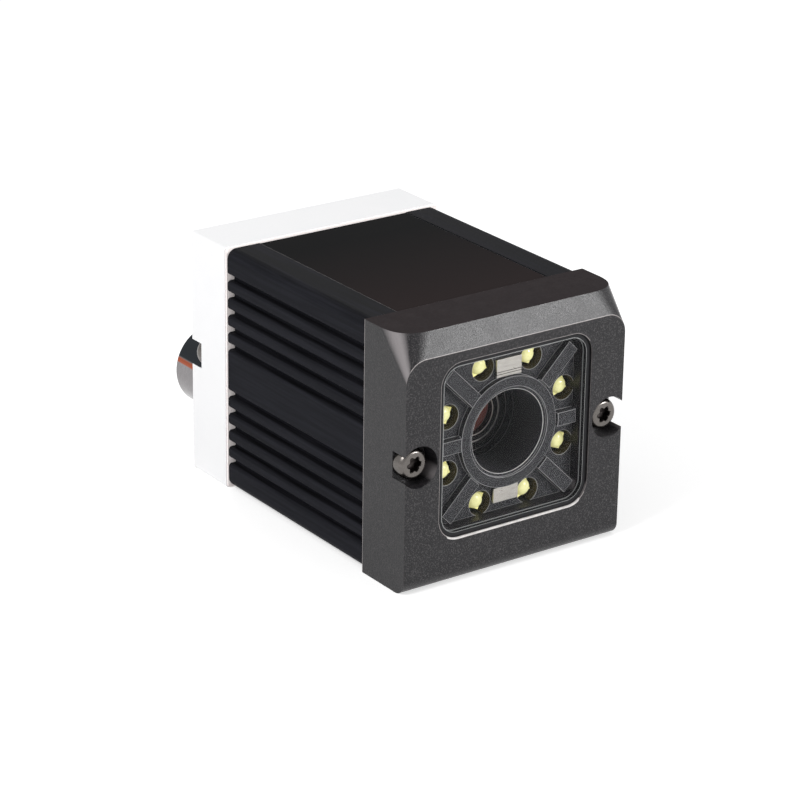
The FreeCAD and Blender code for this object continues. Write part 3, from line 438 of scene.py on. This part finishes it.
def adopt(mesh, name, looks, node, body=HOUSING):
    """Makes a piece of a mesh, in place of a node: materials, smooth shading and body."""
    piece = bpy.data.objects.new(name, mesh)
    bpy.context.scene.collection.objects.link(piece)
    for look in looks:
        mesh.materials.append(LOOKS[look].material)
    mesh.shade_smooth()
    mesh.set_sharp_from_angle(angle=math.radians(SHARP))
    normals = piece.modifiers.new("weighted_normals", "WEIGHTED_NORMAL")
    normals.keep_sharp = True
    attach(piece, body)
    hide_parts(node)
    return piece


def finish_mesh(work, name):
    bmesh.ops.recalc_face_normals(work, faces=work.faces)
    mesh = bpy.data.meshes.new(name)
    work.to_mesh(mesh)
    work.free()
    return mesh


def repaint(piece, look, chosen):
    """Gives the chosen faces another look."""
    piece.data.materials.append(LOOKS[look].material)
    for face in piece.data.polygons:
        if chosen(face):
            face.material_index = len(piece.data.materials) - 1


def solid_copy(node):
    """The node's solid as a clean working mesh: welded, its flat faces whole."""
    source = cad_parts[node]
    work = bmesh.new()
    corners = [work.verts.new(source.matrix_world @ vertex.co) for vertex in source.data.vertices]
    for face in source.data.polygons:
        ring = [corners[i] for i in face.vertices]
        if not work.faces.get(ring):
            work.faces.new(ring)
    bmesh.ops.remove_doubles(work, verts=work.verts, dist=0.002 * MM)
    bmesh.ops.dissolve_limit(work, angle_limit=math.radians(0.8), verts=work.verts,
                             edges=work.edges)
    bmesh.ops.recalc_face_normals(work, faces=work.faces)
    return work


def round_edges(work, width, segments=2, material=-1, corner=CORNER, chosen=None, clamp=True):
    """Rounds the edges sharper than a corner, or those of them that chosen(middle, edge) picks."""
    edges = []
    for edge in work.edges:
        if not edge.is_manifold or edge.calc_face_angle(0.0) < math.radians(corner):
            continue
        middle = (edge.verts[0].co + edge.verts[1].co) / 2 / MM
        if chosen is None or chosen(middle, edge):
            edges.append(edge)
    bmesh.ops.bevel(work, geom=edges, offset=width * MM, offset_type="OFFSET", segments=segments,
                    profile=0.6, affect="EDGES", clamp_overlap=clamp, material=material)


def softened(node, name, looks, width, segments=2, body=HOUSING, clamp=True):
    """The node's own solid with its sharp edges rounded to a width in millimetres.
    Where looks has two names, the rounded edges take the second."""
    work = solid_copy(node)
    round_edges(work, width, segments, len(looks) - 1, clamp=clamp)
    return adopt(finish_mesh(work, name), name, looks, node, body)


def point_round(center, radius, angle, y):
    """A point at an angle round an axis along Y, in the frame's metres."""
    return Vector((center[0] + radius * math.cos(angle), y,
                   center[1] + radius * math.sin(angle))) * MM


def lathe(work, profile, center, segments=96, wave=None, material=0, start=0.0):
    """Turns (radius, y) points, in millimetres, round an axis along Y through center (x, z).
    wave(angle, radius, y) may give another radius. A radius of 0 closes the end."""
    rings = []
    for radius, y in profile:
        if radius <= 0.0:
            rings.append([work.verts.new((center[0] * MM, y * MM, center[1] * MM))])
            continue
        ring = []
        for k in range(segments):
            angle = start + 2 * math.pi * k / segments
            r = wave(angle, radius, y) if wave else radius
            ring.append(work.verts.new(point_round(center, r, angle, y)))
        rings.append(ring)
    for first, second in zip(rings, rings[1:]):
        for k in range(segments):
            n = (k + 1) % segments
            if len(first) == 1:
                corners = [first[0], second[n], second[k]]
            elif len(second) == 1:
                corners = [first[k], first[n], second[0]]
            else:
                corners = [first[k], first[n], second[n], second[k]]
            work.faces.new(corners).material_index = material


# --------------------------------------------------------------------- pieces

# M3 pan-head screw with a six-lobe recess: radii, then heights along the axis
HEAD_RADIUS = 2.75
HEAD_CROWN = 2.0
HEAD_FLAT = 1.9
RECESS_LOBE = 1.42
RECESS_WAIST = 1.02
RECESS_TIP = 0.7
HEAD_HEIGHT = 2.3
HEAD_LAND = 1.0
HEAD_EASE = 0.1
RECESS_DEPTH = 1.3
RECESS_CONE = 0.25
RECESS_RIM = 0.12
RECESS_DRAFT = 0.04
SCREW_SEGMENTS = 96


def six_lobes(angle, radius, y):
    """A six-lobe recess of that radius: round lobes with waists between them."""
    lobe = 0.5 + 0.5 * math.cos(6 * angle)
    waist = RECESS_WAIST / RECESS_LOBE
    return radius * (waist + (1 - waist) * lobe ** 0.8)


def pan_screw(work, center, top, seat, turn):
    """A pan-head screw: its head's flat top at y = top, its seat at y = seat."""
    way = 1.0 if seat > top else -1.0
    deep = top + way * RECESS_DEPTH
    brim = top + way * RECESS_RIM
    floor = [(0.0, deep + way * RECESS_CONE), (RECESS_TIP, deep)]
    wall = [(RECESS_TIP, deep), (RECESS_LOBE - RECESS_DRAFT, deep), (RECESS_LOBE, brim)]
    rim = [(RECESS_LOBE, brim), (RECESS_LOBE + RECESS_RIM, top)]
    for profile, material in ((floor, 1), (wall, 1), (rim, 0)):
        lathe(work, profile, center, SCREW_SEGMENTS, six_lobes, material, turn)
    dome = [(HEAD_FLAT, top)]
    land = seat - way * HEAD_LAND
    for step in range(7):
        angle = math.radians(15 * step)
        dome.append((HEAD_CROWN + (HEAD_RADIUS - HEAD_CROWN) * math.sin(angle),
                     land + (top - land) * math.cos(angle)))
    side = [(HEAD_RADIUS, seat - way * HEAD_EASE), (HEAD_RADIUS - HEAD_EASE, seat), (0.0, seat)]
    lathe(work, dome + side, center, SCREW_SEGMENTS, start=turn)
    ring_between(work, center, top, turn)


def ring_between(work, center, y, turn):
    """Flat ring from the six-lobe edge out to the head's crown."""
    inner, outer = [], []
    for k in range(SCREW_SEGMENTS):
        angle = turn + 2 * math.pi * k / SCREW_SEGMENTS
        edge = six_lobes(angle, RECESS_LOBE + RECESS_RIM, y)
        inner.append(work.verts.new(point_round(center, edge, angle, y)))
        outer.append(work.verts.new(point_round(center, HEAD_FLAT, angle, y)))
    for k in range(SCREW_SEGMENTS):
        n = (k + 1) % SCREW_SEGMENTS
        work.faces.new([inner[k], inner[n], outer[n], outer[k]])


def screws(node, name, front):
    """The pair of screws of the bezel (front) or of the rear cover."""
    box_low, box_high = box_mm(node)
    height = (box_low.z + box_high.z) / 2
    top = box_low.y if front else box_high.y
    seat = top + HEAD_HEIGHT if front else top - HEAD_HEIGHT
    work = bmesh.new()
    for side, turn in ((box_low.x + HEAD_RADIUS, 0.3), (box_high.x - HEAD_RADIUS, 0.12)):
        pan_screw(work, (side, height), top, seat, turn)
    bmesh.ops.remove_doubles(work, verts=work.verts, dist=0.0005 * MM)
    return adopt(finish_mesh(work, name), name, ["screw", "recess"], node)


# widths to which the bezel's edges are rounded
SILL_EDGE = 0.3
WINDOW_EDGE = 0.12
CREST_EDGE = 0.07
SIDE_EDGE = 0.35
REAR_EDGE = 0.24
OTHER_EDGE = 0.14


def bezel_piece():
    """The bezel: painted highlights along its crest and round its window, softer outer edges."""
    box_low, box_high = box_mm("front_bezel")
    seal_low, seal_high = box_mm("window_seal")
    front, back, side = low.y / MM, box_high.y, box_high.x
    crest_low = high.z / MM - 8.0
    work = solid_copy("front_bezel")

    def on_front(p):
        return p.y < front + 0.05

    def window(p, edge):
        return (on_front(p) and seal_low.x - 0.3 < p.x < seal_high.x + 0.3
                and seal_low.z - 0.3 < p.z < seal_high.z + 0.3)

    def sill(p, edge):
        return window(p, edge) and p.z < seal_low.z + 1.0

    def window_rest(p, edge):
        return window(p, edge) and not sill(p, edge)

    def crest(p, edge):
        run = edge.verts[0].co - edge.verts[1].co
        level = abs(run.x) > 0.8 * abs(run.z)
        return on_front(p) and p.z > crest_low and level and not window(p, edge)

    def upright(p, edge):
        return on_front(p) and abs(abs(p.x) - side) < 0.2

    def rear_upright(p, edge):
        run = edge.verts[0].co - edge.verts[1].co
        return p.y > back - 0.02 and abs(abs(p.x) - side) < 0.02 and abs(run.z) > 3 * abs(run.x)

    def others(p, edge):
        return not on_front(p) and abs(edge.verts[0].co.y - edge.verts[1].co.y) < 0.001 * MM

    round_edges(work, SILL_EDGE, 3, 2, FINE_CORNER, sill, clamp=False)
    round_edges(work, WINDOW_EDGE, 3, 1, FINE_CORNER, window_rest, clamp=False)
    round_edges(work, CREST_EDGE, 2, 1, FINE_CORNER, crest, clamp=False)
    round_edges(work, SIDE_EDGE, 3, 0, CORNER, upright)
    round_edges(work, REAR_EDGE, 3, 1, CORNER, rear_upright, clamp=False)
    round_edges(work, OTHER_EDGE, 2, 1, CORNER, others)
    name = "bezel_shell"
    looks = ["bezel", "bezel_edge", "window_lip"]
    bezel = adopt(finish_mesh(work, name), name, looks, "front_bezel")

    def right_of_window(face):
        p = face.center / MM
        return (face.material_index == 1 and on_front(p) and p.z < seal_high.z - 2.0
                and seal_high.x - 0.6 < p.x < seal_high.x + 0.5)

    def flat_top(face):
        return face.normal.z > 0.97 and face.center.z > high.z - 0.2 * MM

    # the window's right edge keeps the plain coating, without the painted highlight
    repaint(bezel, "bezel", right_of_window)
    repaint(bezel, "bezel_top", flat_top)


LAMPS = ["led_%d" % number for number in range(1, 9)]
WELL_RADIUS = 2.3
BORE_LIP = 7.6
RIB_HEIGHT = 1.4


def middle_of(node):
    """Middle (x, z) of a node's box, in millimetres."""
    box_low, box_high = box_mm(node)
    return (box_low.x + box_high.x) / 2, (box_low.z + box_high.z) / 2


def carrier_piece():
    """The lamp carrier: edges with painted highlights, a painted highlight and glow round its
    bore, and lamp wells in painted glow and shade.
    """
    carrier = softened("light_holder", "lamp_carrier", ["holder", "holder_edge"], 0.07,
                       clamp=False)
    spots = [middle_of(node) for node in LAMPS]
    well_top = box_mm("light_holder")[0].y + RIB_HEIGHT
    bore_x, bore_z = middle_of("lens_barrel")

    def in_well(face):
        x, y, z = face.center / MM
        near = any(math.hypot(x - a, z - b) < WELL_RADIUS for a, b in spots)
        return near and y > well_top + 0.1 and abs(face.normal.y) < 0.3

    def on_lip(face):
        x, y, z = face.center / MM
        near = math.hypot(x - bore_x, z - bore_z) < BORE_LIP
        return face.material_index == 1 and y < well_top and near

    repaint(carrier, "well", in_well)
    repaint(carrier, "ring_lip", on_lip)


# a lamp's package: half its width, its height, its yellow layer, and its dome
LAMP_HALF = 1.5
LAMP_HEIGHT = 1.15
LAYER_HEIGHT = 0.3
LAYER_INSET = 0.08
DOME_RADIUS = 1.45
DOME_HEIGHT = 1.0
DOME_STEPS = 8


def led_package(node, name):
    """A lamp: white ceramic package, phosphor layer and a dome, turned to face the bore's axis."""
    x, z = middle_of(node)
    bore_x, bore_z = middle_of("lens_barrel")
    turn = math.atan2(z - bore_z, x - bore_x)
    back = box_mm(node)[1].y
    front = back - LAMP_HEIGHT
    work = bmesh.new()

    def slab(half, y_front, y_back, material):
        made = bmesh.ops.create_cube(work, size=1.0)["verts"]
        for v in made:
            side, up = v.co.x * 2 * half, v.co.z * 2 * half
            v.co = Vector((x + side * math.cos(turn) - up * math.sin(turn),
                           (y_front + y_back) / 2 + v.co.y * (y_back - y_front),
                           z + side * math.sin(turn) + up * math.cos(turn))) * MM
        for face in {f for v in made for f in v.link_faces}:
            face.material_index = material

    slab(LAMP_HALF, front + LAYER_HEIGHT, back, 0)
    slab(LAMP_HALF - LAYER_INSET, front, front + LAYER_HEIGHT, 1)
    round_edges(work, 0.05)
    dome = [(0.0, front - DOME_HEIGHT)]
    for step in range(1, DOME_STEPS + 1):
        angle = math.pi / 2 * step / DOME_STEPS
        dome.append((DOME_RADIUS * math.sin(angle) ** 0.9, front - DOME_HEIGHT * math.cos(angle)))
    lathe(work, dome + [(0.0, front)], (x, z), segments=40, material=2)
    looks = ["ceramic", "phosphor", "silicone"]
    return adopt(finish_mesh(work, name), name, looks, node)


# the connectors' shells: radii, and lengths along the axis
SHANK_RADIUS = 6.4
MOUTH_CHAMFER = 0.4
THREAD_PITCH = 1.0
THREAD_DEPTH = 0.45
THREAD_FADE = 0.6
THREAD_LEAD = 0.7
SOCKET_RADIUS, SOCKET_THREAD, SOCKET_BORE, SOCKET_DEPTH = 7.6, 5.45, 4.15, 8.5
PLUG_FLANGE, PLUG_THREAD, PLUG_BORE, FLANGE_WIDTH = 7.0, 6.0, 4.9, 1.2


def chamfered(profile, width):
    """Closed profile with each corner cut back by a width, in millimetres."""
    points = []
    for k, corner in enumerate(profile):
        for other in (profile[k - 1], profile[(k + 1) % len(profile)]):
            reach = math.dist(corner, other)
            share = min(width, 0.3 * reach) / reach
            points.append(tuple(a + (b - a) * share for a, b in zip(corner, other)))
    return points


def socket_shape(back, collar, end):
    """Closed corners of the network socket's shell, and its thread: radius and two ends."""
    corners = [(SOCKET_BORE, back), (SHANK_RADIUS, back), (SHANK_RADIUS, collar),
               (SOCKET_RADIUS, collar), (SOCKET_RADIUS, end - MOUTH_CHAMFER),
               (SOCKET_RADIUS - MOUTH_CHAMFER, end), (SOCKET_THREAD + MOUTH_CHAMFER, end),
               (SOCKET_THREAD, end - MOUTH_CHAMFER), (SOCKET_THREAD, end - SOCKET_DEPTH),
               (SOCKET_BORE, end - SOCKET_DEPTH)]
    return corners, (SOCKET_THREAD, end - THREAD_LEAD, end - SOCKET_DEPTH + THREAD_PITCH)


def plug_shape(back, collar, end):
    """The same for the power plug's shell, whose thread is outside."""
    flange = collar + FLANGE_WIDTH
    corners = [(PLUG_BORE, back), (SHANK_RADIUS, back), (SHANK_RADIUS, collar),
               (PLUG_FLANGE, collar), (PLUG_FLANGE, flange), (PLUG_THREAD, flange),
               (PLUG_THREAD, end - MOUTH_CHAMFER), (PLUG_THREAD - MOUTH_CHAMFER, end),
               (PLUG_BORE, end)]
    return corners, (PLUG_THREAD, flange + THREAD_LEAD, end - THREAD_FADE)


def threaded_collar(node, name, look, seal, shape, way):
    """A turned shell with its M12 thread cut as a helix.
    shape(back, collar, end) gives its corners and its thread; way is 1 where the thread cuts
    outwards and -1 where it cuts inwards."""
    back, end = (corner.y for corner in box_mm(node))
    corners, (radius, first, last) = shape(back, box_mm(seal)[1].y, end)
    corners = chamfered(corners, 0.1)
    rows = round(abs(last - first) / (THREAD_PITCH / 8))
    cut = [(radius, first + (last - first) * k / rows) for k in range(rows + 1)]
    place = next(k for k, point in enumerate(corners)
                 if abs(point[0] - radius) < 0.01 and abs(corners[k + 1][0] - radius) < 0.01)
    loop = corners[:place + 1] + cut + corners[place + 1:]

    def helix(angle, r, y):
        if abs(r - radius) > 0.001 or not min(first, last) <= y <= max(first, last):
            return r
        turn = (y / THREAD_PITCH - angle / (2 * math.pi)) % 1.0
        depth = max(0.0, 1.2 * (1.0 - abs(2 * turn - 1)) - 0.2)
        fade = min(1.0, abs(y - first) / THREAD_FADE, abs(y - last) / THREAD_FADE)
        return r + way * THREAD_DEPTH * depth * fade

    work = bmesh.new()
    lathe(work, loop + loop[:1], middle_of(node), wave=helix)
    bmesh.ops.remove_doubles(work, verts=work.verts, dist=0.0005 * MM)
    return adopt(finish_mesh(work, name), name, [look], node)


# pieces that take a node's place: most keep the solid's form, with its edges rounded
bezel_piece()
softened("body_extrusion", "finned_tube", ["extrusion"], 0.08)
softened("rear_cover", "cover_shell", ["cover"], 0.2, 3)
softened("window_seal", "window_rubber", ["seal"], 0.1)
softened("window_pane", "window_glass", ["pane", "pane_edge"], 0.13)
carrier_piece()
softened("lens_barrel", "lens_tube", ["barrel", "barrel_edge"], 0.1, body=CARRIAGE)
softened("lens_retaining_ring", "lens_ring", ["barrel", "lens_rim"], 0.14,
         body=CARRIAGE)
softened("label_plate", "label_film", ["label", "label_edge"], 0.05)
softened("rear_gasket", "rear_joint_gasket", ["gasket"], 0.06)
softened("holder_clip_top", "clip_upper", ["clip"], 0.05)
softened("holder_clip_bottom", "clip_lower", ["clip"], 0.05)
threaded_collar("network_socket_shell", "network_collar", "collar", "network_socket_seal",
                socket_shape, 1)
threaded_collar("power_plug_shell", "power_collar", "nickel", "power_plug_seal", plug_shape, -1)
softened("network_socket_seal", "network_collar_seal", ["red_seal"], 0.1)
softened("power_plug_seal", "power_collar_seal", ["red_seal"], 0.1)
softened("focus_screw", "focus_spindle", ["brass"], 0.08, body=FOCUS)
screws("bezel_screws", "bezel_pan_screws", True)
screws("rear_cover_screws", "cover_pan_screws", False)
for number, node in enumerate(LAMPS, 1):
    led_package(node, "lamp_%d" % number)

# nodes that stay as they are and take a finish
FINISH = {
    "board": ("led_board", "sensor_board", "processor_board", "connector_board"),
    "holder": ("optics_frame", "lens_carriage"),
    "screw": ("guide_rods",),
    "lens": ("front_lens", "rear_lens"),
    "brass": ("front_spacers", "rear_spacers"),
    "chip": ("image_sensor", "processor_chip"),
    "insert": ("front_board_connector", "rear_board_connector", "network_socket_insert",
               "power_plug_insert"),
    "nickel": ("network_socket_nut", "power_plug_nut"),
    "gold": ("network_socket_contacts", "power_plug_pins"),
    "phosphor": ("status_lamps",),
    "guide": ("status_light_guide_1", "status_light_guide_2", "status_light_guide_3"),
    "front_gasket": ("front_gasket",),
}
for look, nodes in FINISH.items():
    for node in nodes:
        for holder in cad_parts[node].material_slots:
            holder.material = LOOKS[look].material


# ------------------------------------------------------------ floor and lights

AMBIENT = 0.5
FLOOR_GLOW = 0.42
# radius, places, distances and sizes from here on are metres
FLOOR_RADIUS = 4.0
CAMERA_PLACE = (-0.28597, -0.40298, 0.21536)
# azimuth, elevation and roll in degrees, and the focal length in millimetres
CAMERA_TURN = (-35.731, 21.863, 0.874)
CAMERA_LENS = 136.54


def toward_viewer(azimuth, elevation):
    """Direction from the object to a viewer at that azimuth and elevation, in radians."""
    return Vector((math.sin(azimuth) * math.cos(elevation),
                   -math.cos(azimuth) * math.cos(elevation), math.sin(elevation)))


def seen_directly(tree):
    """1 for rays that show the background: seen, mirrored or through glass."""
    path = tree.nodes.new("ShaderNodeLightPath")
    result = path.outputs["Is Camera Ray"]
    for kind in ("Is Glossy Ray", "Is Transmission Ray"):
        either = tree.nodes.new("ShaderNodeMath")
        either.operation = "MAXIMUM"
        tree.links.new(result, either.inputs[0])
        tree.links.new(path.outputs[kind], either.inputs[1])
        result = either.outputs[0]
    return result


def make_world():
    world = bpy.data.worlds.new("studio")
    bpy.context.scene.world = world
    world.use_nodes = True
    tree = world.node_tree
    background = tree.nodes["Background"]
    background.inputs["Color"].default_value = (1, 1, 1, 1)
    level = tree.nodes.new("ShaderNodeMapRange")
    level.inputs["To Min"].default_value = AMBIENT
    level.inputs["To Max"].default_value = 1.0
    tree.links.new(seen_directly(tree), level.inputs["Value"])
    tree.links.new(level.outputs["Result"], background.inputs["Strength"])


def make_floor():
    """A pale round floor: part of what is seen of it is even white, the rest keeps the shadow."""
    work = bmesh.new()
    angles = [2 * math.pi * k / 64 for k in range(64)]
    work.faces.new([work.verts.new((FLOOR_RADIUS * math.cos(a), FLOOR_RADIUS * math.sin(a), 0.0))
                    for a in angles])
    mesh = finish_mesh(work, "floor")
    floor = bpy.data.objects.new("floor", mesh)
    bpy.context.scene.collection.objects.link(floor)
    material = bpy.data.materials.new("floor_white")
    material.use_nodes = True
    tree = material.node_tree
    shader = tree.nodes["Principled BSDF"]
    shader.inputs["Base Color"].default_value = (0.86, 0.86, 0.86, 1)
    shader.inputs["Roughness"].default_value = 0.9
    shader.inputs["Specular IOR Level"].default_value = 0.0
    glow = tree.nodes.new("ShaderNodeEmission")
    glow.inputs["Color"].default_value = (1, 1, 1, 1)
    strength = tree.nodes.new("ShaderNodeMath")
    strength.operation = "MULTIPLY"
    strength.inputs[1].default_value = FLOOR_GLOW
    both = tree.nodes.new("ShaderNodeAddShader")
    tree.links.new(seen_directly(tree), strength.inputs[0])
    tree.links.new(strength.outputs[0], glow.inputs["Strength"])
    tree.links.new(shader.outputs[0], both.inputs[0])
    tree.links.new(glow.outputs[0], both.inputs[1])
    tree.links.new(both.outputs[0], tree.nodes["Material Output"].inputs["Surface"])
    mesh.materials.append(material)


def softbox(name, azimuth, elevation, distance, size, power):
    """A square lamp that faces the object, seen from it at that azimuth and elevation."""
    way = toward_viewer(math.radians(azimuth), math.radians(elevation))
    middle = (low + high) / 2
    data = bpy.data.lights.new(name, "AREA")
    data.size = size
    data.energy = power
    lamp = bpy.data.objects.new(name, data)
    lamp.location = middle + way * distance
    lamp.rotation_mode = "QUATERNION"
    lamp.rotation_quaternion = way.to_track_quat("Z", "Y")
    bpy.context.scene.collection.objects.link(lamp)


def make_camera():
    azimuth, elevation, roll = map(math.radians, CAMERA_TURN)
    back = toward_viewer(azimuth, elevation)
    level = Vector((math.cos(azimuth), math.sin(azimuth), 0.0))
    upright = back.cross(level)
    right = level * math.cos(roll) + upright * math.sin(roll)
    up = upright * math.cos(roll) - level * math.sin(roll)
    data = bpy.data.cameras.new("camera")
    data.lens = CAMERA_LENS
    data.sensor_width = 36.0
    data.clip_start = 0.02
    data.clip_end = 20.0
    camera = bpy.data.objects.new("camera", data)
    turned = Matrix((right, up, back)).transposed().to_4x4()
    camera.matrix_world = Matrix.Translation(CAMERA_PLACE) @ turned
    bpy.context.scene.collection.objects.link(camera)
    bpy.context.scene.camera = camera


make_world()
make_floor()
softbox("upper_left", -85, 40, 0.7, 0.3, 2.7)
softbox("front_right", 34, 17, 0.7, 0.15, 3.0)
make_camera()
bpy.context.scene.view_settings.view_transform = "Standard"
